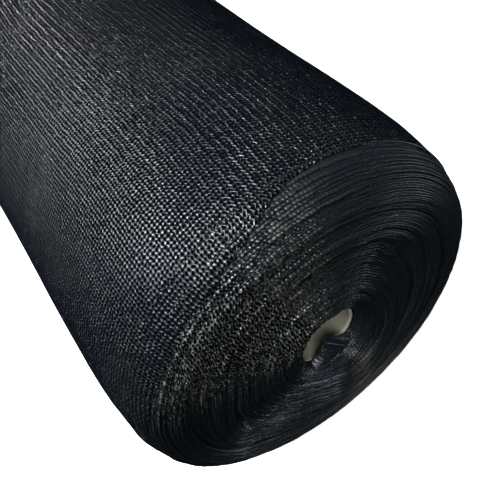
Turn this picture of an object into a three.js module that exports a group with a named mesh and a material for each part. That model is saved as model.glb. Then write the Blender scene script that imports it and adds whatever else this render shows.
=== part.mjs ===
// Roll of knitted shade netting, wound on a cardboard tube.
// Millimetres. X runs along the roll, with its shown end at +X. Z is up and the roll rests on z = 0.
// Angles go round the X axis from +Y (0) to +Z (90), in degrees.

import * as THREE from "three";

// Driving dimensions
const ROLL_RADIUS = 150;
const CLOTH_WIDTH = 1000;
const CLOTH_THICKNESS = 1.36;
const REST_DEPTH = 4;
const TELESCOPE = 28;

const TUBE_BORE_RADIUS = 25;
const TUBE_WALL = 2.5;
const TUBE_RECESS = 8.5;
const TUBE_CLEARANCE = 0.35;
const BORE_RADIUS = TUBE_BORE_RADIUS + TUBE_WALL + TUBE_CLEARANCE;

// Fineness of the solids
const TURN_STEPS = 72;
const BODY_STEPS = 8;
const TUBE_SIDES = 48;

// The outermost turn ends in a cut edge along the back of the roll, close to the floor.
const CLOTH_END_ANGLE = -62;
const CLOTH_END_SPREAD = 0.4;

// Soft unevenness of the wound cloth between its two ends
const SWELL = { height: 0.7, length: 310, lobes: 3 };

// Outermost turn near an end: its radius at places inward from its own selvedge
const RIM = [
  { inward: 60, radius: ROLL_RADIUS },
  { inward: 32, radius: 148.9 },
  { inward: 6, radius: 145.6 },
  { inward: 0, radius: 144.3 },
];

// The turns under it stand out past that selvedge, stair by stair, up to the end's face.
const STAIRS = [
  { out: 0.4, radius: 142.5 },
  { out: 10, radius: 139.6 },
  { out: 19, radius: 135 },
  { out: 24, radius: 128 },
  { out: 26.8, radius: 120 },
];

// Crease between two groups of turns, low on the near side only
const CREASE_HALF_WIDTH = 1.6;
const CREASE_EDGE = 0.4;
const OUTER_CREASE = [
  { angle: 150, radius: 114, depth: 0.4 },
  { angle: 168, radius: 113, depth: 3 },
  { angle: 180, radius: 111, depth: 4 },
  { angle: -166, radius: 110, depth: 5 },
  { angle: -133, radius: 109, depth: 5 },
  { angle: -116, radius: 105, depth: 4 },
  { angle: -98, radius: 104, depth: 0.6 },
  { angle: 0, radius: 110, depth: 0.3 },
];

// Gap between the outer and the inner turns, from its outer wall to its inner wall
const MAIN_GAP = [
  { angle: 120, outer: 90, inner: 87, depth: 3.5 },
  { angle: 71, outer: 91, inner: 87.5, depth: 4 },
  { angle: 60, outer: 89.5, inner: 82, depth: 4 },
  { angle: 43, outer: 86.5, inner: 77, depth: 5 },
  { angle: 23, outer: 82, inner: 75.5, depth: 6 },
  { angle: 0, outer: 82.5, inner: 77, depth: 6 },
  { angle: -24, outer: 84.5, inner: 81.5, depth: 5 },
  { angle: -42, outer: 90.5, inner: 87.5, depth: 5 },
  { angle: -59, outer: 96.5, inner: 93.5, depth: 5 },
  { angle: -72, outer: 95.5, inner: 91.5, depth: 6 },
  { angle: -84, outer: 87, inner: 79, depth: 10 },
  { angle: -100, outer: 80.5, inner: 69, depth: 16 },
  { angle: -130, outer: 78.5, inner: 68, depth: 18 },
  { angle: -142, outer: 86, inner: 76.5, depth: 18 },
  { angle: -152, outer: 86.5, inner: 78, depth: 14 },
  { angle: -164, outer: 82, inner: 78.5, depth: 7 },
  { angle: 180, outer: 79, inner: 76, depth: 4 },
  { angle: 160, outer: 83, inner: 80, depth: 4 },
  { angle: 145, outer: 88.5, inner: 85.5, depth: 4 },
];
const GAP_SLOPE_SHARE = 0.3;
const GAP_EDGE_WIDTH = 5;

// How far the turns inside the gap stand out past the face
const INNER_STAND = [
  { angle: 110, out: 0.5 },
  { angle: 60, out: -0.8 },
  { angle: 0, out: -0.5 },
  { angle: -60, out: 1.5 },
  { angle: -100, out: 3.5 },
  { angle: -135, out: 4 },
  { angle: -165, out: 3 },
  { angle: 160, out: 1 },
];
const INNER_BAND_SHARES = [0.3, 0.75];

// Crease that winds from the gap's side in towards the mouth
const INNER_CREASE = [
  { angle: 80, radius: 43.5, depth: 2.5 },
  { angle: 31, radius: 44.5, depth: 3.5 },
  { angle: -1, radius: 52, depth: 4 },
  { angle: -24, radius: 61, depth: 4 },
  { angle: -44, radius: 64, depth: 4 },
  { angle: -63, radius: 60, depth: 4 },
  { angle: -82, radius: 47, depth: 4 },
  { angle: -115, radius: 37, depth: 3.5 },
  { angle: -150, radius: 38, depth: 0.6 },
  { angle: 150, radius: 41, depth: 0.6 },
];

// Highest line of the innermost turns, before they dip into the mouth
const LIP = [
  { angle: 70, radius: 38, out: 0 },
  { angle: 26, radius: 34, out: -1 },
  { angle: -17, radius: 39, out: 0.5 },
  { angle: -49, radius: 44, out: 2 },
  { angle: -75, radius: 36, out: 2.5 },
  { angle: -111, radius: 30, out: 2.5 },
  { angle: -154, radius: 30, out: 2 },
  { angle: 161, radius: 34, out: 1 },
  { angle: 115, radius: 36, out: 0.5 },
];

// Inner edge of the netting in front of the tube. Low at the back the first turns are folded over the
// tube's edge as a tongue that reaches nearly to the middle of the bore.
const MOUTH = [
  { angle: 174, radius: 24, behind: 2 },
  { angle: 150, radius: 25, behind: 1.5 },
  { angle: 120, radius: 26.3, behind: 1.5 },
  { angle: 90, radius: 27.6, behind: 1.5 },
  { angle: 65, radius: 29.5, behind: 1.8 },
  { angle: 30, radius: 28.6, behind: 5 },
  { angle: 0, radius: 28.3, behind: 6.3 },
  { angle: -22, radius: 27.2, behind: 6.5 },
  { angle: -33, radius: 20, behind: 6.5 },
  { angle: -40, radius: 9.5, behind: 6.5 },
  { angle: -60, radius: 6.8, behind: 6.5 },
  { angle: -80, radius: 8, behind: 6.5 },
  { angle: -94, radius: 12, behind: 6.5 },
  { angle: -103, radius: 21, behind: 6.5 },
  { angle: -112, radius: 26.5, behind: 6.5 },
  { angle: -140, radius: 26, behind: 4.5 },
  { angle: -165, radius: 24.8, behind: 3 },
];
const DIP = { across: 0.55, down: 0.4 };
const MOUTH_BACK = 7.6;
const MOUTH_ROOT = 8.1;

// The hidden end has the same shoulder and a plain face, and the tube stands out of it a little.
const FAR_FACE_WAVE = 1.2;
const FAR_FACE = [
  { radius: 36, phase: 0 },
  { radius: 62, phase: 100 },
  { radius: 98, phase: 200 },
];

const NETTING_MATERIAL = new THREE.MeshStandardMaterial({ color: 0x16191c, roughness: 0.5, metalness: 0 });
const TUBE_MATERIAL = new THREE.MeshStandardMaterial({ color: 0x8f8d70, roughness: 0.9, metalness: 0 });

const { cos, sin, PI } = Math;
const toRadians = THREE.MathUtils.degToRad;
const mix = THREE.MathUtils.lerp;

// Angle from one direction on to another, counted upwards from 0 to 360
function turnFrom(start, angle) {
  return (((angle - start) % 360) + 360) % 360;
}

// Slope of a table's curve at one of its rows: level at a peak or a dip, so that no curve overshoots
function rowSlope(left, row, right) {
  const before = (row.value - left.value) / (row.turn - left.turn);
  const after = (right.value - row.value) / (right.turn - row.turn);
  return before * after > 0 ? (2 * before * after) / (before + after) : 0;
}

// Value of one column of a table at an angle, on a smooth curve that closes round the roll
function around(rows, column, angle) {
  const ahead = rows.map((row) => ({ turn: turnFrom(angle, row.angle), value: row[column] }));
  ahead.sort((one, other) => one.turn - other.turn);
  const behind = ahead.map(({ turn, value }) => ({ turn: turn - 360, value }));
  const [earlier, start] = behind.slice(-2);
  const [end, later] = ahead;
  const span = end.turn - start.turn;
  const share = -start.turn / span;
  const rest = 1 - share;
  return (
    start.value * (1 + 2 * share) * rest ** 2 +
    end.value * (3 - 2 * share) * share ** 2 +
    rowSlope(earlier, start, end) * span * share * rest ** 2 -
    rowSlope(start, end, later) * span * share ** 2 * rest
  );
}

// Radius lost by the outermost turn on its way round to the cloth's cut edge
function spiralLoss(angle) {
  return (CLOTH_THICKNESS * turnFrom(CLOTH_END_ANGLE, angle)) / 360;
}

function bodyRadius(x, angle) {
  const wave = sin((2 * PI * x) / SWELL.length + toRadians(SWELL.lobes * angle));
  return ROLL_RADIUS - spiralLoss(angle) + SWELL.height * wave;
}

// Rings on the outermost turn and on the stairs under it, from the body to an end's face.
// The selvedge lies at x, and outward is 1 or -1, the way the end faces along X.
function shoulder(x, outward) {
  const rim = RIM.map(({ inward, radius }) => (angle) => {
    return { x: x - outward * inward, radius: radius - spiralLoss(angle) };
  });
  const stairs = STAIRS.map(({ out, radius }) => () => ({ x: x + outward * out, radius }));
  return [...rim, ...stairs];
}

// Outer edge, floor and inner edge of a crease in a face whose height is worked out for each angle
function crease(rows, face) {
  return [1, 0, -1].map((side) => (angle) => {
    const sunk = side === 0 ? around(rows, "depth", angle) : 0;
    return { x: face(angle) - sunk, radius: around(rows, "radius", angle) + side * CREASE_HALF_WIDTH };
  });
}

const innerFace = (angle) => around(INNER_STAND, "out", angle);

// Four rings of the gap: the edge of the outer turns, the two sides of its floor, the inner turns' edge
function mainGap() {
  const place = (across, height) => (angle) => {
    const radius = mix(around(MAIN_GAP, "outer", angle), around(MAIN_GAP, "inner", angle), across);
    return { x: height(angle), radius };
  };
  const floor = (angle) => -around(MAIN_GAP, "depth", angle);
  return [
    place(0, () => 0),
    place(GAP_SLOPE_SHARE, floor),
    place(1 - GAP_SLOPE_SHARE, floor),
    place(1, innerFace),
  ];
}

// Flat turns between the gap and the inner crease
function innerBand() {
  return INNER_BAND_SHARES.map((share) => (angle) => {
    const radius = mix(around(MAIN_GAP, "inner", angle), around(INNER_CREASE, "radius", angle), share);
    return { x: innerFace(angle), radius };
  });
}

// The innermost turns: their highest line, the dip into the mouth, the cloth's edge and its back
function mouth() {
  const lip = (angle) => ({ x: around(LIP, "out", angle), radius: around(LIP, "radius", angle) });
  const edge = (angle) => ({ x: -around(MOUTH, "behind", angle), radius: around(MOUTH, "radius", angle) });
  const dip = (angle) => ({
    x: mix(lip(angle).x, edge(angle).x, DIP.down),
    radius: mix(lip(angle).radius, edge(angle).radius, DIP.across),
  });
  const back = (angle) => ({ x: -MOUTH_BACK, radius: edge(angle).radius });
  const root = () => ({ x: -MOUTH_ROOT, radius: BORE_RADIUS });
  return [lip, dip, edge, back, root];
}

// Rings of the shown end, each as a place worked out for an angle. Its face is x = 0.
function shownEnd() {
  const gapEdge = (angle) => ({ x: 0, radius: around(MAIN_GAP, "outer", angle) + GAP_EDGE_WIDTH });
  return [
    ...shoulder(-TELESCOPE, 1),
    ...crease(OUTER_CREASE, () => -CREASE_EDGE),
    gapEdge,
    ...mainGap(),
    ...innerBand(),
    ...crease(INNER_CREASE, innerFace),
    ...mouth(),
  ];
}

// Rings of the hidden end, from the bore out to the body
function hiddenEnd() {
  const bore = () => ({ x: -CLOTH_WIDTH, radius: BORE_RADIUS });
  const face = FAR_FACE.map(({ radius, phase }) => (angle) => {
    return { x: -CLOTH_WIDTH + FAR_FACE_WAVE * sin(toRadians(2 * angle + phase)), radius };
  });
  return [bore, ...face, ...shoulder(-CLOTH_WIDTH + TELESCOPE, -1).reverse()];
}

// Rings along the body, from the hidden end's rim to the shown end's
function body() {
  const start = -CLOTH_WIDTH + TELESCOPE + RIM[0].inward;
  const end = -TELESCOPE - RIM[0].inward;
  return Array.from({ length: BODY_STEPS - 1 }, (_, index) => {
    const x = mix(start, end, (index + 1) / BODY_STEPS);
    return (angle) => ({ x, radius: bodyRadius(x, angle) });
  });
}

// Closed skin through rings that follow each other round the section and back to the first
function skin(rings, angles) {
  const floor = REST_DEPTH - ROLL_RADIUS;
  const places = [];
  for (const ring of rings) {
    for (const angle of angles) {
      const { x, radius } = ring(angle);
      const turn = toRadians(angle);
      places.push(x, radius * cos(turn), Math.max(radius * sin(turn), floor));
    }
  }
  const faces = [];
  const count = angles.length;
  for (let row = 0; row < rings.length; row += 1) {
    const nextRow = (row + 1) % rings.length;
    for (let step = 0; step < count; step += 1) {
      const nextStep = (step + 1) % count;
      const [a, b] = [row * count + step, row * count + nextStep];
      const [c, d] = [nextRow * count + nextStep, nextRow * count + step];
      faces.push(a, b, c, a, c, d);
    }
  }
  const geometry = new THREE.BufferGeometry();
  geometry.setAttribute("position", new THREE.Float32BufferAttribute(places, 3));
  geometry.setIndex(faces);
  geometry.computeVertexNormals();
  return geometry;
}

function nettingRoll() {
  const span = 360 - 2 * CLOTH_END_SPREAD;
  const angles = Array.from({ length: TURN_STEPS + 1 }, (_, index) => {
    return CLOTH_END_ANGLE + CLOTH_END_SPREAD + (span * index) / TURN_STEPS;
  });
  const rings = [...shownEnd(), ...hiddenEnd(), ...body()];
  const mesh = new THREE.Mesh(skin(rings, angles), NETTING_MATERIAL);
  mesh.name = "netting_roll";
  return mesh;
}

function coreTube() {
  const outer = TUBE_BORE_RADIUS + TUBE_WALL;
  const profile = [
    new THREE.Vector2(TUBE_BORE_RADIUS, 0),
    new THREE.Vector2(outer, 0),
    new THREE.Vector2(outer, CLOTH_WIDTH),
    new THREE.Vector2(TUBE_BORE_RADIUS, CLOTH_WIDTH),
    new THREE.Vector2(TUBE_BORE_RADIUS, 0),
  ];
  const mesh = new THREE.Mesh(new THREE.LatheGeometry(profile, TUBE_SIDES), TUBE_MATERIAL);
  mesh.name = "core_tube";
  mesh.rotation.z = PI / 2;
  mesh.position.x = -TUBE_RECESS;
  return mesh;
}

// The origin is under the middle of the roll, on the floor.
const group = new THREE.Group();
group.add(nettingRoll(), coreTube());
const box = new THREE.Box3().setFromObject(group);
const middle = box.getCenter(new THREE.Vector3());
group.position.set(-middle.x, -middle.y, -box.min.z);

export default group;
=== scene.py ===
# Roll of knitted shade netting, wound on a cardboard tube.
# The tables are in millimetres and degrees. Meshes are in metres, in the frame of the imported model.
# Angles go round the roll's axis from +Y (0) to +Z (90). "Out" is the way the shown end faces, +X.

import bpy
import numpy as np
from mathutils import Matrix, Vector


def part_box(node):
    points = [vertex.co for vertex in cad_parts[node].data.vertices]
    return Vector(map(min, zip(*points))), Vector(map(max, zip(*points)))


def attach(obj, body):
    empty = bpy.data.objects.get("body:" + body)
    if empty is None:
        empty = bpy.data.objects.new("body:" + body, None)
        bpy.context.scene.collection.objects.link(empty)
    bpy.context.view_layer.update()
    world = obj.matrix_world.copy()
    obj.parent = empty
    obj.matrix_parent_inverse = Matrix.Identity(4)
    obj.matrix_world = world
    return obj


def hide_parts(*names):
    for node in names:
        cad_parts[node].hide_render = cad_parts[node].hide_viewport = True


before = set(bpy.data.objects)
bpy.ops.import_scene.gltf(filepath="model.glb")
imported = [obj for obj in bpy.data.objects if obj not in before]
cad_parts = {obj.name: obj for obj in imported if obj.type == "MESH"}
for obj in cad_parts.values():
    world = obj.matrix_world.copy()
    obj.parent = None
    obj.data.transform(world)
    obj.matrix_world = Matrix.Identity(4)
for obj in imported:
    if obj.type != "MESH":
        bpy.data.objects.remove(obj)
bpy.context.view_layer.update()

MM = 0.001
FULL_TURN = 360.0

# Driving dimensions, as in the solids
ROLL_RADIUS = 150.0
CLOTH_WIDTH = 1000.0
CLOTH_THICKNESS = 1.36
REST_DEPTH = 4.0
TELESCOPE = 28.0
TUBE_BORE_RADIUS = 25.0
TUBE_WALL = 2.5
TUBE_RECESS = 8.5
CLOTH_END_ANGLE = -62.0
SWELL_HEIGHT = 0.7
SWELL_LENGTH = 310.0
SWELL_LOBES = 3
SWELL_FROM = 60.0
SWELL_FULL = 150.0

# Stitches of the knit, across the cloth (along the roll) and along it (round the roll)
WALE = 3.0
COURSE = 2.8


def table(columns, *rows):
    """Small table with named columns, each an array of numbers"""
    return {name: np.array(column, float) for name, column in zip(columns.split(), zip(*rows))}


# Outermost turn near an end: its radius at places inward from its own selvedge. Past the selvedge it
# is carried on down over the turns under it, for where it is pulled out over them.
RIM = table(
    "inward radius",
    (-24, 131), (-22, 133.6), (-19, 136.4), (-15, 138.8), (-10, 141), (-5, 143),
    (0, 144.5), (6, 145.6), (32, 148.9), (60, ROLL_RADIUS),
)

# How far the outermost turn is pulled out over the turns under it, on the near side of the shown end
PULLED_OUT = table(
    "angle reach",
    (-120, 0), (-150, 5), (-170, 13), (175, 18), (155, 20), (135, 20), (122, 17), (110, 9),
    (98, 2), (85, 0), (0, 0),
)
PULL_LENGTH = 60.0

# Turns under it stand out past that selvedge, stair by stair, up to the end's face.
STAIRS = table(
    "out radius", (0, 144.3), (0.4, 142.5), (10, 139.6), (19, 135), (24, 128), (26.8, 120)
)

# Crease between two groups of turns, low on the near side only
OUTER_CREASE = table(
    "angle radius depth",
    (150, 114, 0.4), (168, 113, 3), (180, 111, 4), (-166, 110, 5),
    (-133, 109, 5), (-116, 105, 4), (-98, 104, 0.6), (0, 110, 0.3),
)
CREASE_WIDTH = 3.2
CREASE_EDGE = 0.4
CREASE_OPEN_DEPTH = 3.0

# Gap between the outer and the inner turns
MAIN_GAP = table(
    "angle outer inner depth",
    (120, 90, 87, 3.5), (71, 91, 87.5, 4), (60, 89.5, 82, 4), (43, 86.5, 77, 5),
    (23, 82, 75.5, 6), (0, 82.5, 77, 6), (-24, 84.5, 81.5, 5), (-42, 90.5, 87.5, 5),
    (-59, 96.5, 93.5, 5), (-72, 95.5, 91.5, 6), (-84, 87, 79, 10), (-100, 80.5, 69, 16),
    (-130, 78.5, 68, 18), (-142, 86, 76.5, 18), (-152, 86.5, 78, 14), (-164, 82, 78.5, 7),
    (180, 79, 76, 4), (160, 83, 80, 4), (145, 88.5, 85.5, 4),
)

# How far the turns inside the gap stand out past the face
INNER_STAND = table(
    "angle out",
    (110, 0.5), (60, -0.8), (0, -0.5), (-60, 1.5), (-100, 3.5), (-135, 4), (-165, 3), (160, 1),
)

# Crease that winds from the gap's side in towards the mouth
INNER_CREASE = table(
    "angle radius depth",
    (80, 43.5, 2.5), (31, 44.5, 3.5), (-1, 52, 4), (-24, 61, 4), (-44, 64, 4),
    (-63, 60, 4), (-82, 47, 4), (-115, 37, 3.5), (-150, 38, 0.6), (150, 41, 0.6),
)

# Highest line of the innermost turns, before they dip into the mouth
LIP = table(
    "angle radius out",
    (70, 38, 0), (26, 34, -1), (-17, 39, 0.5), (-49, 44, 2), (-75, 36, 2.5),
    (-111, 30, 2.5), (-154, 30, 2), (161, 34, 1), (115, 36, 0.5),
)

# Inner edge of the netting in front of the tube. The first turns are folded over the tube's edge
# as a tongue that reaches nearly to the middle of the bore.
MOUTH = table(
    "angle radius behind",
    (174, 23, 2), (150, 23, 1.5), (120, 24.2, 1.5), (90, 25.6, 1.5), (65, 28.2, 1.8),
    (30, 28.6, 5), (0, 28.3, 6.3), (-22, 27.2, 6.5), (-33, 20, 6.5), (-40, 9.5, 6.5),
    (-60, 6.8, 6.5), (-80, 8, 6.5), (-94, 12, 6.5), (-103, 21, 6.5), (-112, 26.5, 6.5),
    (-140, 22.5, 4.5), (-165, 21.5, 3),
)

# The same edge with the tongue left out: where the wound turns end
TURNS_END = table(
    "angle radius",
    (174, 23), (150, 23), (120, 24.2), (90, 25.6), (65, 28.2), (30, 28.6), (0, 28.3),
    (-22, 27.2), (-45, 27), (-80, 26.5), (-112, 26.5), (-140, 22.5), (-165, 21.5),
)
DIP_ACROSS = 0.55
DIP_DOWN = 0.4

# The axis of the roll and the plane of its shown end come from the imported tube.
tube_low, tube_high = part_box("core_tube")
AXIS_Y = (tube_low.y + tube_high.y) / 2
AXIS_Z = (tube_low.z + tube_high.z) / 2
FACE_X = tube_high.x + TUBE_RECESS * MM
FLOOR_HEIGHT = REST_DEPTH - ROLL_RADIUS

# Random heights in each line of seeded noise
NOISE_HEIGHTS = 4096


def around(rows, column, angles):
    """Values of one column of a table at the angles, on a smooth curve that closes round the roll"""
    start = rows["angle"][0]
    turns = (rows["angle"] - start) % FULL_TURN
    order = np.argsort(turns)
    turns = np.append(turns[order], FULL_TURN)
    values = np.append(rows[column][order], rows[column][0])
    rise = np.diff(values) / np.diff(turns)
    before = np.roll(rise, 1)
    same_way = before * rise > 0
    slope = np.where(same_way, 2 * before * rise / np.where(same_way, before + rise, 1), 0)
    slope = np.append(slope, slope[0])
    place = (np.asarray(angles, float) - start) % FULL_TURN
    row = np.clip(np.searchsorted(turns, place, side="right") - 1, 0, len(rise) - 1)
    span = turns[row + 1] - turns[row]
    share = (place - turns[row]) / span
    rest = 1 - share
    return (
        values[row] * (1 + 2 * share) * rest**2
        + values[row + 1] * (3 - 2 * share) * share**2
        + slope[row] * span * share * rest**2
        - slope[row + 1] * span * share**2 * rest
    )


def smooth_step(low, high, value):
    """0 below the low value, 1 above the high one and a smooth curve between them"""
    share = np.clip((value - low) / (high - low), 0, 1)
    return share**2 * (3 - 2 * share)


def wander(value, seed, period):
    """Smooth seeded noise from -1 to 1 along one line, with a random height at each period"""
    heights = np.random.default_rng(seed).uniform(-1, 1, NOISE_HEIGHTS)
    place = np.asarray(value, float) / period
    cell = np.floor(place).astype(int)
    share = place - cell
    share = share**2 * (3 - 2 * share)
    return heights[cell % NOISE_HEIGHTS] * (1 - share) + heights[(cell + 1) % NOISE_HEIGHTS] * share


def waves(rows, first, second=0):
    """Sum of seeded noises. Each row gives a noise's height, seed and period, and its shares of the two
    places"""
    return sum(
        height * wander(first_share * first + second_share * second, seed, period)
        for height, seed, period, first_share, second_share in rows
    )


def place_on_roll(out, radius, angle):
    """Points of the frame, in metres, from places given by the end's face and the roll's axis"""
    turn = np.radians(angle)
    height = np.maximum(radius * np.sin(turn), FLOOR_HEIGHT)
    across = radius * np.cos(turn)
    return np.stack([FACE_X + out * MM, AXIS_Y + across * MM, AXIS_Z + height * MM], axis=-1)


def make_piece(name, points, quads, weave, bake, material):
    """Mesh object from points and quads, with its knit and bake layouts given for each corner"""
    mesh = bpy.data.meshes.new(name)
    points = points.reshape(-1, 3)
    mesh.vertices.add(len(points))
    mesh.vertices.foreach_set("co", points.astype(np.float32).ravel())
    mesh.loops.add(quads.size)
    mesh.loops.foreach_set("vertex_index", quads.astype(np.int32).ravel())
    mesh.polygons.add(len(quads))
    mesh.polygons.foreach_set("loop_start", np.arange(0, quads.size, 4, dtype=np.int32))
    mesh.polygons.foreach_set("loop_total", np.full(len(quads), 4, dtype=np.int32))
    mesh.polygons.foreach_set("use_smooth", np.ones(len(quads), dtype=bool))
    for layer, corners in (("Weave", weave), ("OFBake", bake)):
        uv = mesh.uv_layers.new(name=layer)
        uv.data.foreach_set("uv", corners.astype(np.float32).ravel())
    mesh.validate()
    mesh.update()
    mesh.materials.append(material)
    piece = bpy.data.objects.new(name, mesh)
    bpy.context.scene.collection.objects.link(piece)
    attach(piece, "root")
    return piece


def grid_piece(name, points, weave, material, flip=False):
    """Piece from a grid of points, rows by columns, whose bake layout is the grid itself"""
    rows, columns = points.shape[:2]
    index = np.arange(rows * columns).reshape(rows, columns)
    corners = [index[:-1, :-1], index[:-1, 1:], index[1:, 1:], index[1:, :-1]]
    if flip:
        corners.reverse()
    quads = np.stack(corners, axis=-1).reshape(-1, 4)
    across, down = np.meshgrid(np.linspace(0, 1, columns), np.linspace(0, 1, rows))
    bake = np.stack([across, down], axis=-1).reshape(-1, 2)
    weave = weave.reshape(-1, 2)
    return make_piece(name, points, quads, weave[quads], bake[quads], material)


# Shader nodes


def add_node(tree, kind, inputs=None, **settings):
    """New node with its settings, and inputs that are values or other nodes' outputs"""
    node = tree.nodes.new(kind)
    for name, value in settings.items():
        setattr(node, name, value)
    for name, value in (inputs or {}).items():
        connect(tree, node.inputs[name], value)
    return node


def connect(tree, socket, value):
    """Link another node's output to an input, or set the input's value"""
    if isinstance(value, bpy.types.NodeSocket):
        tree.links.new(value, socket)
    else:
        socket.default_value = value


def calc(tree, operation, *values):
    """Output of a math node"""
    node = tree.nodes.new("ShaderNodeMath")
    node.operation = operation
    for socket, value in zip(node.inputs, values):
        connect(tree, socket, value)
    return node.outputs[0]


def ramp(tree, value, low, high, from_value=0.0, to_value=1.0):
    """Smooth change from one value to another while the input goes from low to high"""
    node = add_node(tree, "ShaderNodeMapRange", {
        "Value": value, "From Min": low, "From Max": high, "To Min": from_value, "To Max": to_value,
    }, interpolation_type="SMOOTHSTEP")
    return node.outputs["Result"]


def blend_colours(tree, share, first, second):
    """Colour between the first, at a share of 0, and the second, at 1"""
    node = add_node(tree, "ShaderNodeMix", data_type="RGBA")
    connect(tree, node.inputs[0], share)
    connect(tree, node.inputs[6], first)
    connect(tree, node.inputs[7], second)
    return node.outputs[2]


def new_material(name):
    """Empty node material with its output node"""
    material = bpy.data.materials.new(name)
    material.use_nodes = True
    tree = material.node_tree
    tree.nodes.clear()
    output = tree.nodes.new("ShaderNodeOutputMaterial")
    return material, tree, output


def noise(tree, vector, scale, detail, roughness=0.5):
    """Soft pattern from 0 to 1 on a flat layout"""
    node = add_node(tree, "ShaderNodeTexNoise", {
        "Vector": vector, "Scale": scale, "Detail": detail, "Roughness": roughness,
    }, noise_dimensions="2D")
    return node.outputs["Fac"]


# Looks of the knit. Heights are in stitches, so that a slope is a true slope.
TAPE_COLOUR = (0.0013, 0.0019, 0.0032, 1)
TAPE_WORN = (0.0036, 0.0040, 0.0044, 1)
# Painted light: the two edge colours below are a lighter copy of the same black netting, standing in for
# the light the turns' edges at the ends catch. The worn patches on them are real wear.
EDGE_LIT_COLOUR = (0.0050, 0.0066, 0.0086, 1)
EDGE_LIT_WORN = (0.0100, 0.0112, 0.0106, 1)
# Painted shade: the holes get a near-black matte colour without gloss, standing in for the shade in the
# gaps between the tapes.
HOLE_PAINTED_SHADE = (0.0007, 0.0011, 0.0020, 1)
KNOT = {"half": (0.27, 0.34), "crown": 0.038, "bend": 0.034, "lean": 0.11, "top": 0.0}
TAPE = {"half": (0.19, 0.56), "crown": 0.03, "bend": 0.03, "lean": 0.11, "top": -0.15}
KNOT_STRAY_ACROSS = 0.06
KNOT_STRAY_ALONG = 0.08
TAPE_SET = 0.38
FURROW = -0.32

# Where the hole starts beside a knot or tape, and where it is fully open, as squared distances
HOLE_FROM = 0.8
HOLE_FULL = 1.15

# Seeds of the two random patterns, and how far stitches stray from their rows
KNOT_SEED = 1.0
TAPE_SEED = 5.0
WOBBLE = 0.42
WOBBLE_SCALE = 130.0

# Gloss of the tapes, and their worn and duller patches
GLOSS_ROUGHNESS = 0.17
GLOSS_SPREAD = 0.10
WORN_SCALE = 14.0
WORN_FROM = 0.45
WORN_FULL = 0.75
WORN_DULLNESS = 0.06

# The turns' edges at an end: their knit shows less where they lie close, away from the loose side.
# Angles are the middle of that side, how far from it the edges stay loose, and from where they lie close.
LOOSE_ANGLE = 140.0
LOOSE_NEAR = 12.0
LOOSE_FAR = 48.0
CALM_RELIEF = 0.3
LOOSE_RELIEF = 1.0
CALM_COVER = 0.75
CALM_DULLNESS = 0.12
# Painted glints: on the loose side, which faces the lights, random stitches of the edges take a lighter
# colour that stands in for highlights. Then the random share where it starts and where it is full.
PAINTED_GLINT_COLOUR = (0.075, 0.080, 0.072, 1)
PAINTED_GLINT_FROM = 0.4
PAINTED_GLINT_FULL = 0.85


def spread(tree, share, reach):
    """Value from -reach to reach for a random share from 0 to 1"""
    return calc(tree, "MULTIPLY_ADD", share, 2 * reach, -reach)


def facet(tree, shape, off_across, off_along, tilt, set_lean=0.0):
    """Height of a piece of tape, a crowned patch that leans its own way and bends down at its edges,
    and the squared distance from its middle, which is 1 at its rim"""
    share_across = calc(tree, "DIVIDE", off_across, shape["half"][0])
    share_along = calc(tree, "DIVIDE", off_along, shape["half"][1])
    distance = calc(
        tree, "ADD", calc(tree, "POWER", share_across, 2.0), calc(tree, "POWER", share_along, 2.0)
    )
    bend = calc(tree, "MULTIPLY", calc(tree, "POWER", distance, 2.0), shape["bend"])
    fall = calc(tree, "ADD", bend, shape["crown"])
    height = calc(tree, "MULTIPLY_ADD", calc(tree, "MULTIPLY", fall, distance), -1.0, shape["top"])
    lean_across = calc(tree, "ADD", spread(tree, tilt[0], shape["lean"]), set_lean)
    lean_along = spread(tree, tilt[1], shape["lean"])
    height = calc(tree, "MULTIPLY_ADD", lean_across, off_across, height)
    return calc(tree, "MULTIPLY_ADD", lean_along, off_along, height), distance


def knit_height(tree, across, along, knot_random, tape_random):
    """Height of the knit, a knot in each cell and a tape that zigzags past it, and where they cover it"""
    in_across = calc(tree, "SUBTRACT", calc(tree, "FRACT", across), 0.5)
    in_along = calc(tree, "SUBTRACT", calc(tree, "FRACT", along), 0.5)
    off_across = calc(tree, "ADD", in_across, spread(tree, knot_random[2], KNOT_STRAY_ACROSS))
    off_along = calc(tree, "ADD", in_along, spread(tree, tape_random[2], KNOT_STRAY_ALONG))
    knot, knot_distance = facet(tree, KNOT, off_across, off_along, knot_random)
    zigzag = calc(tree, "PINGPONG", along, 1.0)
    tape_phase = calc(tree, "SUBTRACT", across, zigzag)
    off_tape = calc(tree, "SUBTRACT", calc(tree, "FRACT", tape_phase), 0.5)
    odd = calc(tree, "PINGPONG", calc(tree, "FLOOR", along), 1.0)
    set_lean = spread(tree, odd, TAPE_SET)
    tape, tape_distance = facet(tree, TAPE, off_tape, in_along, tape_random, set_lean)
    height = calc(tree, "MAXIMUM", calc(tree, "MAXIMUM", knot, tape), FURROW)
    distance = calc(tree, "MINIMUM", knot_distance, tape_distance)
    return height, ramp(tree, distance, HOLE_FROM, HOLE_FULL, 1.0, 0.0)


def wobble(tree, weave, seed):
    """How far the stitches stray from their rows, in stitches"""
    pattern = add_node(tree, "ShaderNodeTexNoise", {
        "Vector": weave, "W": seed, "Scale": WOBBLE_SCALE, "Detail": 1.0,
    }, noise_dimensions="4D").outputs["Fac"]
    return spread(tree, pattern, WOBBLE)


def stitch_random(tree, cell, seed):
    """One random value for each stitch, and three more as a list"""
    node = add_node(tree, "ShaderNodeTexWhiteNoise", {"Vector": cell, "W": seed}, noise_dimensions="4D")
    channels = add_node(tree, "ShaderNodeSeparateColor", {"Color": node.outputs["Color"]}).outputs
    return node.outputs["Value"], channels


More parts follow.
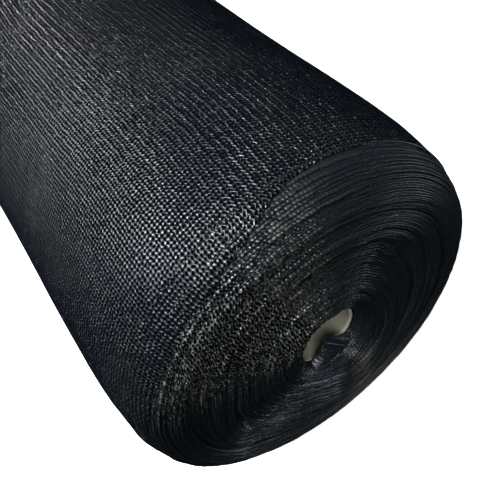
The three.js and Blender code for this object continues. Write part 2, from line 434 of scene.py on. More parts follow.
def loose_side(tree, calm_value, loose_value):
    """Blend from one value to another round the roll's axis, towards the side with the loose edges"""
    coordinates = add_node(tree, "ShaderNodeTexCoord").outputs["Object"]
    place = add_node(tree, "ShaderNodeSeparateXYZ", {"Vector": coordinates}).outputs
    over_axis = calc(tree, "SUBTRACT", place[2], AXIS_Z)
    beside_axis = calc(tree, "SUBTRACT", place[1], AXIS_Y)
    turn = calc(tree, "ARCTAN2", over_axis, beside_axis)
    aside = calc(tree, "ABSOLUTE", calc(tree, "SUBTRACT", turn, np.radians(LOOSE_ANGLE)))
    near, far = np.radians(LOOSE_NEAR), np.radians(LOOSE_FAR)
    return ramp(tree, aside, near, far, loose_value, calm_value)


def netting_material(name, tape_colour, worn_colour, at_end):
    """Black polyethylene knit: glossy tapes over holes filled with painted shade, a dark matte shader
    without gloss, with worn and duller patches. At an end, the knit is calm where the edges lie close.
    Where they are loose, random stitches get a painted glint, a lighter colour standing in for
    highlights."""
    material, tree, output = new_material(name)
    weave = add_node(tree, "ShaderNodeUVMap", uv_map="Weave").outputs["UV"]
    place = add_node(tree, "ShaderNodeSeparateXYZ", {"Vector": weave}).outputs
    across = calc(tree, "DIVIDE", place[0], WALE * MM)
    along = calc(tree, "DIVIDE", place[1], COURSE * MM)
    across = calc(tree, "ADD", across, wobble(tree, weave, KNOT_SEED))
    along = calc(tree, "ADD", along, wobble(tree, weave, TAPE_SEED))
    cell = add_node(tree, "ShaderNodeCombineXYZ", {
        "X": calc(tree, "FLOOR", across), "Y": calc(tree, "FLOOR", along),
    }).outputs["Vector"]
    gloss_random, knot_random = stitch_random(tree, cell, KNOT_SEED)
    tape_random = stitch_random(tree, cell, TAPE_SEED)[1]
    height, cover = knit_height(tree, across, along, knot_random, tape_random)
    worn = ramp(tree, noise(tree, weave, WORN_SCALE, 4.0, 0.6), WORN_FROM, WORN_FULL)
    roughness = calc(tree, "MULTIPLY_ADD", gloss_random, GLOSS_SPREAD, GLOSS_ROUGHNESS)
    roughness = calc(tree, "MULTIPLY_ADD", worn, WORN_DULLNESS, roughness)
    colour = blend_colours(tree, worn, tape_colour, worn_colour)
    relief = 1.0
    if at_end:
        relief = loose_side(tree, CALM_RELIEF, LOOSE_RELIEF)
        cover = calc(tree, "MAXIMUM", cover, loose_side(tree, CALM_COVER, 0.0))
        roughness = calc(tree, "ADD", roughness, loose_side(tree, CALM_DULLNESS, 0.0))
        # Painted glint: a lighter colour on random stitches, only on the loose side, standing in for
        # highlights.
        painted_glint = ramp(tree, tape_random[1], PAINTED_GLINT_FROM, PAINTED_GLINT_FULL)
        painted_glint = calc(tree, "MULTIPLY", painted_glint, loose_side(tree, 0.0, 1.0))
        colour = blend_colours(tree, painted_glint, colour, PAINTED_GLINT_COLOUR)
    normal = add_node(tree, "ShaderNodeBump", {
        "Height": height, "Strength": relief, "Distance": WALE * MM,
    }).outputs["Normal"]
    tape = add_node(tree, "ShaderNodeBsdfPrincipled", {
        "Base Color": colour, "Roughness": roughness, "Normal": normal,
    })
    # Painted shade in the holes: a darker matte shader without gloss where no tape covers the cloth.
    hole = add_node(tree, "ShaderNodeBsdfPrincipled", {
        "Base Color": HOLE_PAINTED_SHADE, "Roughness": 1.0, "Specular IOR Level": 0.0,
    })
    shader = tree.nodes.new("ShaderNodeMixShader")
    tree.links.new(cover, shader.inputs[0])
    tree.links.new(hole.outputs["BSDF"], shader.inputs[1])
    tree.links.new(tape.outputs["BSDF"], shader.inputs[2])
    tree.links.new(shader.outputs[0], output.inputs["Surface"])
    return material


# Looks of the tube's board, with its ply seam as a line that winds round the tube
BOARD_COLOUR = (0.38, 0.38, 0.30, 1)
BOARD_STAIN = (0.31, 0.31, 0.25, 1)
BOARD_FIBRE = (0.43, 0.43, 0.36, 1)
BOARD_SEAM = (0.22, 0.21, 0.17, 1)
BOARD_RELIEF = 0.15
BOARD_RELIEF_STRENGTH = 0.5
BOARD_ROUGHNESS = (0.78, 0.95)
FIBRE_SCALE = 900.0
FIBRE_RANGE = (0.35, 0.75)
FIBRE_SHARE = 0.5
STAIN_SCALE = 22.0
STAIN_RANGE = (0.35, 0.7)
SEAM_SLOPE = 0.62
SEAM_PITCH = 98.0
SEAM_SHARE = 0.008
SEAM_STRENGTH = 0.6


def board_material():
    """Grey-beige spiral-wound board with a ply seam, fibres and stains"""
    material, tree, output = new_material("tube_board")
    weave = add_node(tree, "ShaderNodeUVMap", uv_map="Weave").outputs["UV"]
    place = add_node(tree, "ShaderNodeSeparateXYZ", {"Vector": weave}).outputs
    seam_line = calc(tree, "MULTIPLY_ADD", place[1], SEAM_SLOPE, place[0])
    seam_place = calc(tree, "FRACT", calc(tree, "DIVIDE", seam_line, SEAM_PITCH * MM))
    seam = calc(tree, "ABSOLUTE", calc(tree, "SUBTRACT", seam_place, 0.5))
    seam = ramp(tree, seam, 0.0, SEAM_SHARE, 1.0, 0.0)
    fibres = noise(tree, weave, FIBRE_SCALE, 4.0, 0.7)
    stains = noise(tree, weave, STAIN_SCALE, 3.0)
    board = blend_colours(tree, ramp(tree, stains, *STAIN_RANGE), BOARD_COLOUR, BOARD_STAIN)
    board = blend_colours(tree, ramp(tree, fibres, *FIBRE_RANGE, 0.0, FIBRE_SHARE), board, BOARD_FIBRE)
    board = blend_colours(tree, calc(tree, "MULTIPLY", seam, SEAM_STRENGTH), board, BOARD_SEAM)
    height = calc(tree, "SUBTRACT", fibres, seam)
    normal = add_node(tree, "ShaderNodeBump", {
        "Height": height, "Strength": BOARD_RELIEF_STRENGTH, "Distance": BOARD_RELIEF * MM,
    }).outputs["Normal"]
    roughness = ramp(tree, fibres, 0.2, 0.8, *BOARD_ROUGHNESS)
    shader = add_node(tree, "ShaderNodeBsdfPrincipled", {
        "Base Color": board, "Roughness": roughness, "Normal": normal,
    })
    tree.links.new(shader.outputs["BSDF"], output.inputs["Surface"])
    return material


# The outermost turn

WRAP_STEPS = 672
WRAP_UNDERLAP = 0.02

# Ribs along the roll, which fade between two places near the shown end
RIB_PITCH = 2 * COURSE
RIB_HEIGHT = 0.34
RIB_LEAST = 0.2
RIB_AVERAGE = 0.75
RIB_FULL_OUT = -190.0
RIB_LEAST_OUT = -90.0

# Noise over the cloth. The two places are the way along the roll and the way round it.
COURSE_WAVES = ((3.0, 11, 110, 1, 0), (2.2, 12, 150, 0.3, 1), (0.7, 14, 37, 1, -1))
WALE_WAVES = ((1.6, 15, 90, 0, 1), (0.8, 16, 41, 0.6, 1))
RIB_WAVES = ((0.25, 13, 90, -0.4, 1),)
PUCKER_WAVES = ((0.35, 24, 17, 0.5, 1), (0.25, 25, 11, -0.8, 1))

# Noise along each selvedge
SELVEDGE_WAVES = ((0.6, 21, 9, 1, 0), (0.6, 22, 31, 1, 0), (0.4, 23, 3.5, 1, 0))

# How far in from a selvedge its waves fade out, its pucker fades out, and the ribs fade in
SELVEDGE_REACH = (30, 0)
PUCKER_REACH = (55, 12)
RIB_REACH = (2, 14)

# Columns of the mesh: their places in from each selvedge, and those between them
SELVEDGE_COLUMNS = np.array([0.0, 0.8, 2, 4, 6.5, 9.5, 13, 17, 22, 28, 35, 43, 52, 62, 74, 87])
MIDDLE_START = 100.0
MIDDLE_COLUMNS = 100

# Each selvedge turns down over its own thickness, and the cloth's cut end does the same.
EDGE_THICKNESS = 1.1
TUCK = table("out drop", (-6.0, EDGE_THICKNESS), (-0.6, EDGE_THICKNESS), (0.25, 0.75), (0.35, 0.35))
CUT_LIP_REACH = 0.2
CUT_LIP_DROP = 0.6 * EDGE_THICKNESS
CUT_UNDER_ANGLE = 1.2


def spiral_angle(turn):
    """Angle of a place on the cloth that lies so many turns inward from its cut outer end"""
    return CLOTH_END_ANGLE + FULL_TURN * turn


def wrap_radius(inward_shown, inward_hidden, turn):
    """Outer radius of the outermost turn, without its ribs, from the two distances to its selvedges"""
    nearest = np.minimum(inward_shown, inward_hidden)
    drawn_in = ROLL_RADIUS - np.interp(nearest, RIM["inward"], RIM["radius"])
    along = inward_shown + TELESCOPE
    phase = -2 * np.pi * along / SWELL_LENGTH + np.radians(SWELL_LOBES * spiral_angle(turn))
    swell = SWELL_HEIGHT * np.sin(phase) * smooth_step(SWELL_FROM, SWELL_FULL, nearest)
    return ROLL_RADIUS - CLOTH_THICKNESS * turn - drawn_in + swell


def rib_relief(out, arc):
    """Height of the ribs that pairs of courses raise along the roll, which fade towards the shown end"""
    rib = np.cos(2 * np.pi * (arc + waves(COURSE_WAVES, out, arc)) / RIB_PITCH)
    strength = RIB_LEAST + (1 - RIB_LEAST) * smooth_step(RIB_LEAST_OUT, RIB_FULL_OUT, out)
    return RIB_HEIGHT * strength * (RIB_AVERAGE + waves(RIB_WAVES, out, arc)) * rib


def netting_wrap(material):
    """The outermost turn with its two selvedges and its cut end, over the turns under it"""
    rows = int(WRAP_STEPS * (1 + WRAP_UNDERLAP)) + 1
    turn = (np.arange(rows) / WRAP_STEPS)[:, None]
    span = CLOTH_WIDTH - 2 * TELESCOPE
    middle = np.linspace(MIDDLE_START, span - MIDDLE_START, MIDDLE_COLUMNS)
    place = np.concatenate([SELVEDGE_COLUMNS, middle, span - SELVEDGE_COLUMNS[::-1]])[None, :]
    pulled = around(PULLED_OUT, "reach", spiral_angle(turn[:, 0]))[:, None]
    inward = place - pulled * np.clip(1 - place / PULL_LENGTH, 0, 1)
    arc = np.radians(FULL_TURN * turn) * ROLL_RADIUS
    out = -TELESCOPE - inward + waves(SELVEDGE_WAVES, arc) * smooth_step(*SELVEDGE_REACH, place)
    radius = wrap_radius(inward, span - inward, turn)
    radius = radius + rib_relief(out, arc) * smooth_step(*RIB_REACH, place)
    radius = radius + waves(PUCKER_WAVES, out, arc) * smooth_step(*PUCKER_REACH, place)
    out = np.concatenate([out[:, :1] + TUCK["out"], out, out[:, -1:] - TUCK["out"][::-1]], axis=1)
    radius = np.concatenate([
        radius[:, :1] - TUCK["drop"], radius, radius[:, -1:] - TUCK["drop"][::-1],
    ], axis=1)
    angle = np.broadcast_to(spiral_angle(turn), out.shape)
    lip_angle = angle[:1] - np.degrees(CUT_LIP_REACH / ROLL_RADIUS)
    lip = place_on_roll(out[:1], radius[:1] - CUT_LIP_DROP, lip_angle)
    under = place_on_roll(out[:1], radius[:1] - EDGE_THICKNESS, angle[:1] + CUT_UNDER_ANGLE)
    points = np.concatenate([under, lip, place_on_roll(out, radius, angle)], axis=0)
    across = out + waves(WALE_WAVES, out, arc)
    along = arc + waves(COURSE_WAVES, out, arc)
    weave = np.stack([across, along], axis=-1) * MM
    weave = np.concatenate([weave[:1], weave[:1], weave], axis=0)
    piece = grid_piece("netting_wrap", points, weave, material, flip=True)
    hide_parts("netting_roll")
    return piece


# The turns that show at an end. Turns are counted inward from the cloth's cut outer end.

TURN_HALF = 0.52
TURN_SHARE = 0.42
BAKE_SHARE = 0.98
JUMP = 0.04
CREASE_TURN = 25.28
GAP_TURN = 42.5
GAP_RIM = 5.0
GAP_RIM_TURNS = 3.6
INNER_CREASE_TURN = 64.67
LIP_TURN = 74.9
DIP_TURN = 78.4
LAST_TURN = 81.0
STAIR_PITCH = CLOTH_THICKNESS

# Radius and height lost in each turn past the last one, for the valley inward of it
PAST_LAST_RADIUS = 1.0
PAST_LAST_HEIGHT = 1.2

# Section of the cloth's edge, from its outer face over its top: drop, and aside in half thicknesses
EDGE_SECTION = table("drop aside", (0.80, 1), (0.22, 0.82), (0, 0.15), (0.45, -0.9))
VALLEY_CLEARANCE = 0.02

# Depth of the valleys between the turns, of open ones, how wide they are from closed to open, and how
# many turns from a crease or the gap its own depth holds
VALLEY_DEPTH = 2.4
OPEN_VALLEY_DEPTH = 3.2
VALLEY_OPENS = (0.7, 2.0)
VALLEY_NEAR = 0.75

# Small gaps that open between the turns over part of the way round
SMALL_GAPS = 26
SMALL_GAP_SEED = 31
SMALL_GAP_TURNS = (7, 73)
SMALL_GAP_STRAY = 1.0
SMALL_GAP_ANGLES = 50
SMALL_GAP_REACH = (45, 105)
SMALL_GAP_WIDTH = (0.5, 1.5)
SMALL_GAP_FADE = 2.2
SMALL_GAP_CORE = 0.4

# How loose the turns' edges are round the shown end: loose edges stand out raggedly and glitter
LOOSENESS = table(
    "angle share",
    (-120, 0.35), (-90, 0.2), (-30, 0.1), (30, 0.1), (60, 0.35), (90, 0.8), (125, 1),
    (160, 0.9), (-165, 0.6),
)

# Noise from turn to turn: of the spacing, ledges on the face, ragged edges and the stairs' heights
SPACING_WAVES = ((0.16, 41, 0.11, 1, 0),)
LEDGE_WAVES = ((0.55, 42, 3.1, 1, 0), (0.35, 43, 1.7, 1, 0.7))
RAGGED_WAVES = ((0.35, 44, 0.07, 1, 0), (0.4, 45, 0.021, 1, 0), (0.4, 47, 0.0065, 1, 0))
STAIR_WAVES = ((1.3, 46, 0.29, 1, 0),)
RAGGED_LEAST = 0.4

# Turns over which the stairs pass into the face, the first stair rises, and the spacing calms down
FACE_TURNS = (9, 16)
FIRST_STAIR_TURNS = (0, 1.5)
CALM_TURNS = (0.2, 2.0)


def opened_by(rows, angle):
    """How wide a crease stands open, from its depth"""
    return CREASE_WIDTH * np.clip(around(rows, "depth", angle) / CREASE_OPEN_DEPTH, 0, 1)


def shown_knots(angle):
    """Turn numbers of the key lines of the shown end, with each one's radius and height"""
    knots = []
    for out, radius in zip(STAIRS["out"], STAIRS["radius"]):
        turn = (STAIRS["radius"][0] - radius) / STAIR_PITCH
        knots.append((turn, np.full_like(angle, radius), np.full_like(angle, out - TELESCOPE)))
    crease = around(OUTER_CREASE, "radius", angle)
    crease_open = opened_by(OUTER_CREASE, angle)
    level = np.full_like(angle, -CREASE_EDGE)
    knots.append((CREASE_TURN - JUMP, crease + crease_open / 2, level))
    knots.append((CREASE_TURN + JUMP, crease - crease_open / 2, level))
    gap_outer = around(MAIN_GAP, "outer", angle)
    gap_inner = around(MAIN_GAP, "inner", angle)
    stand = around(INNER_STAND, "out", angle)
    knots.append((GAP_TURN - GAP_RIM_TURNS, gap_outer + GAP_RIM, np.zeros_like(angle)))
    knots.append((GAP_TURN - JUMP, gap_outer, np.zeros_like(angle)))
    knots.append((GAP_TURN + JUMP, gap_inner, stand))
    inner = around(INNER_CREASE, "radius", angle)
    inner_open = opened_by(INNER_CREASE, angle)
    knots.append((INNER_CREASE_TURN - JUMP, inner + inner_open / 2, stand))
    knots.append((INNER_CREASE_TURN + JUMP, inner - inner_open / 2, stand))
    lip_radius = around(LIP, "radius", angle)
    lip_out = around(LIP, "out", angle)
    end_radius = around(TURNS_END, "radius", angle)
    mouth_radius = around(MOUTH, "radius", angle)
    mouth_out = -around(MOUTH, "behind", angle)
    knots.append((LIP_TURN, lip_radius, lip_out))
    for turn, share in ((DIP_TURN, DIP_ACROSS), (LAST_TURN, 1.0)):
        radius = lip_radius + (end_radius - lip_radius) * share
        across = (lip_radius - radius) / (lip_radius - mouth_radius)
        down = np.interp(across, [0, DIP_ACROSS, 1], [0, DIP_DOWN, 1])
        knots.append((turn, radius, lip_out + (mouth_out - lip_out) * down))
    return knots


def small_gaps():
    """Turn number, middle angle, reach and width of each small gap"""
    random = np.random.default_rng(SMALL_GAP_SEED)
    gaps = []
    for turn in np.linspace(*SMALL_GAP_TURNS, SMALL_GAPS):
        turn = turn + random.uniform(-SMALL_GAP_STRAY, SMALL_GAP_STRAY)
        middle = spiral_angle(turn) + FULL_TURN / 2 + random.uniform(-SMALL_GAP_ANGLES, SMALL_GAP_ANGLES)
        gaps.append((turn, middle, random.uniform(*SMALL_GAP_REACH), random.uniform(*SMALL_GAP_WIDTH)))
    return gaps


def shown_turn(turn, angle):
    """Radius and height of the cloth's edge on the shown end"""
    knots = shown_knots(angle)
    places = np.array([knot[0] for knot in knots])
    radii = np.stack([knot[1] for knot in knots])
    heights = np.stack([knot[2] for knot in knots])
    capped = np.clip(turn, 0, places[-1])
    row = np.clip(np.searchsorted(places, capped, side="right") - 1, 0, len(places) - 2)
    share = (capped - places[row]) / (places[row + 1] - places[row])
    column = np.arange(len(turn))
    radius = radii[row, column] * (1 - share) + radii[row + 1, column] * share
    height = heights[row, column] * (1 - share) + heights[row + 1, column] * share
    beyond = np.maximum(turn - places[-1], 0)
    radius = radius - beyond * PAST_LAST_RADIUS
    height = height - beyond * PAST_LAST_HEIGHT
    for gap_turn, middle, reach, width in small_gaps():
        off = turn - gap_turn
        aside = np.abs((angle - middle + FULL_TURN / 2) % FULL_TURN - FULL_TURN / 2)
        opened = smooth_step(reach, reach * SMALL_GAP_CORE, aside) * np.exp(-np.abs(off) / SMALL_GAP_FADE)
        radius = radius - np.sign(off) * width / 2 * opened
    far_from_gaps = np.minimum(np.abs(turn - GAP_TURN), np.abs(turn - CREASE_TURN))
    radius = radius + waves(SPACING_WAVES, turn) * smooth_step(*CALM_TURNS, far_from_gaps)
    loose = around(LOOSENESS, "share", angle)
    ledge = waves(LEDGE_WAVES, turn, np.sin(np.radians(angle)))
    on_face = smooth_step(*FACE_TURNS, turn)
    height = height + ledge * on_face * (1 + loose) + waves(RAGGED_WAVES, turn) * (RAGGED_LEAST + loose)
    height = height + waves(STAIR_WAVES, turn) * (1 - on_face) * smooth_step(*FIRST_STAIR_TURNS, turn)
    return radius, height


def valley_depth(turn, angle, gap_width):
    """How far the valley inward of a turn goes down, from how wide it is and what lies there"""
    deep = np.full_like(angle, OPEN_VALLEY_DEPTH)
    for middle, rows in (
        (CREASE_TURN, OUTER_CREASE), (GAP_TURN, MAIN_GAP), (INNER_CREASE_TURN, INNER_CREASE),
    ):
        here = np.abs(turn + 0.5 - middle) < VALLEY_NEAR
        deep = np.where(here, np.maximum(around(rows, "depth", angle), VALLEY_DEPTH), deep)
    return VALLEY_DEPTH + (deep - VALLEY_DEPTH) * smooth_step(*VALLEY_OPENS, gap_width)


def place_on_face(out, radius, angle, outward):
    """Points from a height over an end's face, whichever way that end faces"""
    along = out if outward > 0 else -CLOTH_WIDTH - out
    return place_on_roll(along, radius, angle)


def corner_places(*corners):
    """Map places of many quads, from the two coordinates of each of their four corners"""
    return np.stack([np.stack(corner, axis=-1) for corner in corners], axis=1)


def spiral_piece(name, turn_at, depth_at, first, last, steps, outward, material):
    """Edges of the wound cloth at one end, as one long strip that winds inward turn by turn"""
    count = int((last - first) * steps) + 1
    turn = first + np.arange(count) / steps
    angle = spiral_angle(turn)
    radius, height = turn_at(turn, angle)
    inner_radius, inner_height = turn_at(turn + 1, angle)
    half = np.minimum(TURN_HALF, TURN_SHARE * (radius - inner_radius))
    gap_width = radius - inner_radius - 2 * half
    floor = np.minimum(height, inner_height) - depth_at(turn, angle, gap_width)
    # Over the cloth's edge, and then across the floor of the valley before the next turn
    section = [
        (height - drop, radius + half * aside)
        for drop, aside in zip(EDGE_SECTION["drop"], EDGE_SECTION["aside"])
    ]
    section.append((floor, radius - half - VALLEY_CLEARANCE))
    section.append((floor, inner_radius + half + VALLEY_CLEARANCE))
    across = len(section)
    points = np.stack([place_on_face(out, ring, angle, outward) for out, ring in section], axis=1)
    index = np.arange(count * across).reshape(count, across)
    step_length = np.hypot(np.diff(radius), radius[1:] * np.radians(FULL_TURN / steps))
    arc = np.append(0, np.cumsum(step_length))
    depth = np.stack([height - out for out, ring in section], axis=1)
    depth[:, -1] += gap_width
    bake_columns = (last - first + 1) * across
    quads, knits, bakes = [], [], []
    for column in range(across):
        if column < across - 1:
            row = np.arange(count - 1)
            inner_row, inner_column, start_depth = row, column + 1, depth[:, column]
        else:
            # The valley's inner side is the outer face of the cloth one turn further in.
            row = np.arange(count - steps - 1)
            inner_row, inner_column, start_depth = row + steps, 0, inner_height - floor
        outer_index, inner_index = index[:, column], index[:, inner_column]
        inner_depth = depth[:, inner_column]
        quads.append(np.stack([
            outer_index[row], inner_index[inner_row], inner_index[inner_row + 1], outer_index[row + 1],
        ], axis=-1))
        knits.append(corner_places(
            (start_depth[row], arc[inner_row]), (inner_depth[inner_row], arc[inner_row]),
            (inner_depth[inner_row + 1], arc[inner_row + 1]), (start_depth[row + 1], arc[inner_row + 1]),
        ))
        lap, step = np.divmod(row, steps)
        left = (lap * across + column) / bake_columns
        right = left + BAKE_SHARE / bake_columns
        low, high = step / steps, (step + 1) / steps
        bakes.append(corner_places((left, low), (right, low), (right, high), (left, high)))
    way = -1 if outward > 0 else 1
    quads = np.concatenate(quads)[:, ::way]
    knits = np.concatenate(knits)[:, ::way] * MM
    bakes = np.concatenate(bakes)[:, ::way]
    return make_piece(name, points, quads, knits, bakes, material)


# The hidden end: the same shoulder, and a plain face with a shallow wave

FAR_FACE_RADIUS = 108.0
FAR_WAVE_HEIGHT = 1.2
FAR_WAVE_MIDDLE = 98.0
FAR_WAVE_LENGTH = 22.0
FAR_WAVE_RADII = (104, 92)
FAR_STEPS = 150
FAR_TURNS = 85.0
FAR_SPACING_WAVES = ((0.14, 51, 0.12, 1, 0),)
FAR_RAGGED_WAVES = ((0.45, 52, 2.7, 1, 0), (0.3, 53, 0.08, 1, 0))


def far_turn(turn, angle):
    """Radius and height of the cloth's edge on the hidden end"""
    radius = STAIRS["radius"][0] - STAIR_PITCH * turn
    stair_radius = np.append(STAIRS["radius"], FAR_FACE_RADIUS)
    stair_out = np.append(STAIRS["out"], TELESCOPE)
    height = np.interp(-radius, -stair_radius, stair_out) - TELESCOPE
    phase = np.radians(2 * angle) + (FAR_WAVE_MIDDLE - radius) / FAR_WAVE_LENGTH
    height = height - FAR_WAVE_HEIGHT * np.sin(phase) * smooth_step(*FAR_WAVE_RADII, radius)
    return radius + waves(FAR_SPACING_WAVES, turn), height + waves(FAR_RAGGED_WAVES, turn)


def plain_depth(turn, angle, gap_width):
    """The same depth for every valley"""
    return np.full_like(angle, VALLEY_DEPTH)


# The tongue: the first turns' edge folded over the tube

TONGUE_ANGLES = (-20.0, -118.0)
TONGUE_ROWS = 150
TONGUE_COLUMNS = 60
TONGUE_ROOT = 3.5
TONGUE_SINK = 0.8
TONGUE_MAP_RADIUS = 30.0

# Streaks across the tongue: the way across them, their noise, and where they end before its edge
STREAK_ANGLE = 57.0
STREAK_WAVES = ((0.3, 61, 0.9, 1, 0), (0.15, 62, 2.2, 1, 0))
STREAK_ENDS = (1.0, 0.85)

# The tongue's edge and the way back under it: steps out past the edge, and drops
TONGUE_UNDER = table("reach drop", (0.25, 0.25), (0.1, 0.8), (-0.3, 1.1), (-6, 1.3))


def folded_edge(material):
    """Sheet from under the innermost turns in to the tongue's rounded edge, and back below"""
    angle = np.linspace(*TONGUE_ANGLES, TONGUE_ROWS)[:, None]
    root = around(TURNS_END, "radius", angle) + TONGUE_ROOT
    lip_radius = around(LIP, "radius", angle)
    lip_out = around(LIP, "out", angle)
    edge_radius = around(MOUTH, "radius", angle)
    edge_out = -around(MOUTH, "behind", angle)
    share = np.linspace(0, 1, TONGUE_COLUMNS)[None, :]
    radius = root + (edge_radius - root) * share
    across = (lip_radius - radius) / (lip_radius - edge_radius)
    down = np.interp(across, [0, DIP_ACROSS, 1], [0, DIP_DOWN, 1])
    out = lip_out + (edge_out - lip_out) * down - TONGUE_SINK * (1 - share)
    line = radius * np.cos(np.radians(angle) - np.radians(STREAK_ANGLE))
    out = out + waves(STREAK_WAVES, line) * smooth_step(*STREAK_ENDS, share)
    out = np.concatenate([out, edge_out - TONGUE_UNDER["drop"]], axis=1)
    radius = np.concatenate([radius, edge_radius - TONGUE_UNDER["reach"]], axis=1)
    angle = np.broadcast_to(angle, out.shape)
    weave = np.stack([radius, np.radians(angle) * TONGUE_MAP_RADIUS], axis=-1) * MM
    points = place_on_roll(out, radius, angle)
    return grid_piece("folded_edge", points, weave, material, flip=True)


# The cardboard tube

TUBE_SIDES = 120

# Rounding of its cut edges, the mesh's rings in the bore from each end, and those on its outside
EDGE_ALONG = np.array([0.5, 0.15, 0])
EDGE_DROP = np.array([0, 0.15, 0.5])
BORE_RINGS = (2, 4, 7, 11, 16, 22, 30, 40, 60, 90, 140, 200, 300, 400)
OUTSIDE_RINGS = (900, 700, 500, 300, 100, 0.5)

# Torn cut edges, as height, waves round the edge and their phase, and a slightly oval tube
TORN_WAVES = ((0.18, 3, 0.4), (0.10, 11, 0), (0.06, 23, 2))
TORN_REACH = 1.5
OVAL = 0.05


def core_board(material):
    """Spiral-wound tube with softly torn cut edges"""
    outer = TUBE_BORE_RADIUS + TUBE_WALL
    near_along = np.concatenate([EDGE_ALONG, EDGE_ALONG[::-1], BORE_RINGS])
    near_ring = np.concatenate([
        outer - EDGE_DROP,
        TUBE_BORE_RADIUS + EDGE_DROP[::-1],
        np.full(len(BORE_RINGS), TUBE_BORE_RADIUS),
    ])
    along = np.concatenate([near_along, [CLOTH_WIDTH / 2], CLOTH_WIDTH - near_along[::-1], OUTSIDE_RINGS])
    outside = np.full(len(OUTSIDE_RINGS), outer)
    ring = np.concatenate([near_ring, [TUBE_BORE_RADIUS], near_ring[::-1], outside])
    angle = np.linspace(0, FULL_TURN, TUBE_SIDES + 1)[:, None]
    turn = np.radians(angle)
    torn = sum(height * np.sin(count * turn + phase) for height, count, phase in TORN_WAVES)
    at_end = np.exp(-np.minimum(along, CLOTH_WIDTH - along) / TORN_REACH)[None, :]
    out = -TUBE_RECESS - along[None, :] + torn * at_end
    radius = np.broadcast_to(ring[None, :], out.shape) + OVAL * np.sin(2 * turn)
    angle = np.broadcast_to(angle, out.shape)
    points = place_on_roll(out, radius, angle)
    weave = np.stack([out, np.radians(angle) * TUBE_BORE_RADIUS], axis=-1) * MM
    piece = grid_piece("tube", points, weave, material)
    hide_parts("core_tube")
    return piece


# Camera, floor, world and lights

CAMERA_AZIMUTH = 57.0
CAMERA_ELEVATION = 44.0
CAMERA_FROM_FACE = 178.0
CAMERA_ASIDE = -191.0
CAMERA_OVER_AXIS = 345.0
LENS = 45.0
SENSOR = 36.0
CLIP_RANGE = (0.01, 50)

# Floor, in metres, and world
FLOOR_COLOUR = (0.92, 0.92, 0.92, 1)
FLOOR_ROUGHNESS = 0.9
FLOOR_GLOW = 0.75
FLOOR_HALF = 6.0
FLOOR_DROP = 0.0004
WORLD_COLOUR = (0.4, 0.6, 1.0, 1)
WORLD_STRENGTH = 0.022

# Soft lights: the way to each from the shown end, its distance and sides in metres, its power in
# watts, its colour, and how far in from the face it aims
LIGHTS = (
    ("key", (0.18, -0.635, 0.745), 3.0, (0.5, 0.5), 150, (0.90, 0.95, 1.0), 0.1),
    ("key_side", (-0.35, -0.65, 0.55), 3.0, (0.5, 0.5), 165, (0.97, 0.98, 1.0), 0.3),
    ("fill", (0.75, -0.4, 0.5), 2.0, (1.2, 1.2), 24, (1.0, 0.98, 0.92), 0.0),
    ("top", (-0.3, 0.25, 0.92), 3.0, (0.4, 0.4), 3, (0.8, 0.9, 1.0), 0.1),
    ("near_side", (-0.5, -0.8, 0.25), 2.5, (0.4, 0.4), 34, (0.9, 0.95, 1.0), 0.2),
    ("far_side", (0.25, 0.95, 0.05), 2.0, (1.0, 0.3), 11, (0.75, 0.85, 1.0), 0.0),
)


def add_camera():
    """Camera worked out from the photo, placed from the roll's axis and the shown end's face"""
    data = bpy.data.cameras.new("camera")
    data.lens = LENS
    data.sensor_width = SENSOR
    data.clip_start, data.clip_end = CLIP_RANGE
    camera = bpy.data.objects.new("camera", data)
    camera.location = (
        FACE_X + CAMERA_FROM_FACE * MM, AXIS_Y + CAMERA_ASIDE * MM, AXIS_Z + CAMERA_OVER_AXIS * MM
    )
    azimuth, elevation = np.radians(CAMERA_AZIMUTH), np.radians(CAMERA_ELEVATION)
    back = Vector((
        np.sin(azimuth) * np.cos(elevation), -np.cos(azimuth) * np.cos(elevation), np.sin(elevation)
    ))
    camera.rotation_mode = "QUATERNION"
    camera.rotation_quaternion = (-back).to_track_quat("-Z", "Y")
    bpy.context.scene.collection.objects.link(camera)
    bpy.context.scene.camera = camera


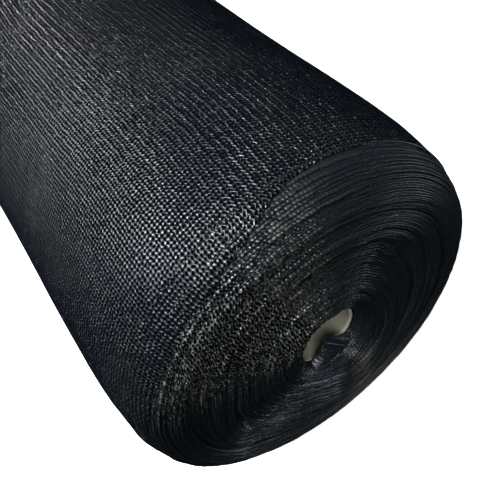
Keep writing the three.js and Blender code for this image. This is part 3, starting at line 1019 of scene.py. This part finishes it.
def add_light(name, direction, distance, size, power, colour, inward):
    """Area light that faces the shown part of the roll"""
    target = Vector((FACE_X - inward, AXIS_Y, AXIS_Z))
    way = Vector(direction).normalized()
    data = bpy.data.lights.new(name, "AREA")
    data.shape = "RECTANGLE"
    data.size, data.size_y = size
    data.energy = power
    data.color = colour
    light = bpy.data.objects.new(name, data)
    light.location = target + way * distance
    light.rotation_mode = "QUATERNION"
    light.rotation_quaternion = (-way).to_track_quat("-Z", "Y")
    bpy.context.scene.collection.objects.link(light)


def add_floor():
    """Pale plain floor, which shows white and doesn't light the netting"""
    material, tree, output = new_material("floor_white")
    shader = add_node(tree, "ShaderNodeBsdfPrincipled", {
        "Base Color": FLOOR_COLOUR, "Roughness": FLOOR_ROUGHNESS,
        "Emission Color": (1, 1, 1, 1), "Emission Strength": FLOOR_GLOW,
    })
    tree.links.new(shader.outputs["BSDF"], output.inputs["Surface"])
    mesh = bpy.data.meshes.new("floor")
    signs = ((-1, -1), (1, -1), (1, 1), (-1, 1))
    corners = [(FLOOR_HALF * x, FLOOR_HALF * y, -FLOOR_DROP) for x, y in signs]
    mesh.from_pydata(corners, [], [(0, 1, 2, 3)])
    mesh.materials.append(material)
    floor = bpy.data.objects.new("floor", mesh)
    floor.visible_glossy = False
    floor.visible_diffuse = False
    bpy.context.scene.collection.objects.link(floor)


def add_world():
    """Dim bluish surroundings"""
    world = bpy.data.worlds.new("world")
    bpy.context.scene.world = world
    world.use_nodes = True
    background = world.node_tree.nodes["Background"]
    background.inputs["Color"].default_value = WORLD_COLOUR
    background.inputs["Strength"].default_value = WORLD_STRENGTH
    bpy.context.scene.view_settings.view_transform = "Standard"


add_camera()
netting = netting_material("shade_netting", TAPE_COLOUR, TAPE_WORN, False)
# The edges' material is a lighter copy of the netting: painted light on the ends.
edges = netting_material("shade_netting_edges", EDGE_LIT_COLOUR, EDGE_LIT_WORN, True)
board = board_material()
netting_wrap(netting)

# Three strips overlap by one turn each, so that every valley is closed.
for name, first, last, steps in (
    ("end_turns_outer", 0, 28, 400),
    ("end_turns_middle", 27, 54, 400),
    ("end_turns_inner", 53, LAST_TURN, 360),
):
    spiral_piece(name, shown_turn, valley_depth, first, last, steps, 1, edges)
spiral_piece("far_end_turns", far_turn, plain_depth, 0, FAR_TURNS, FAR_STEPS, -1, edges)
folded_edge(edges)
core_board(board)
add_floor()
add_world()
for light in LIGHTS:
    add_light(*light)
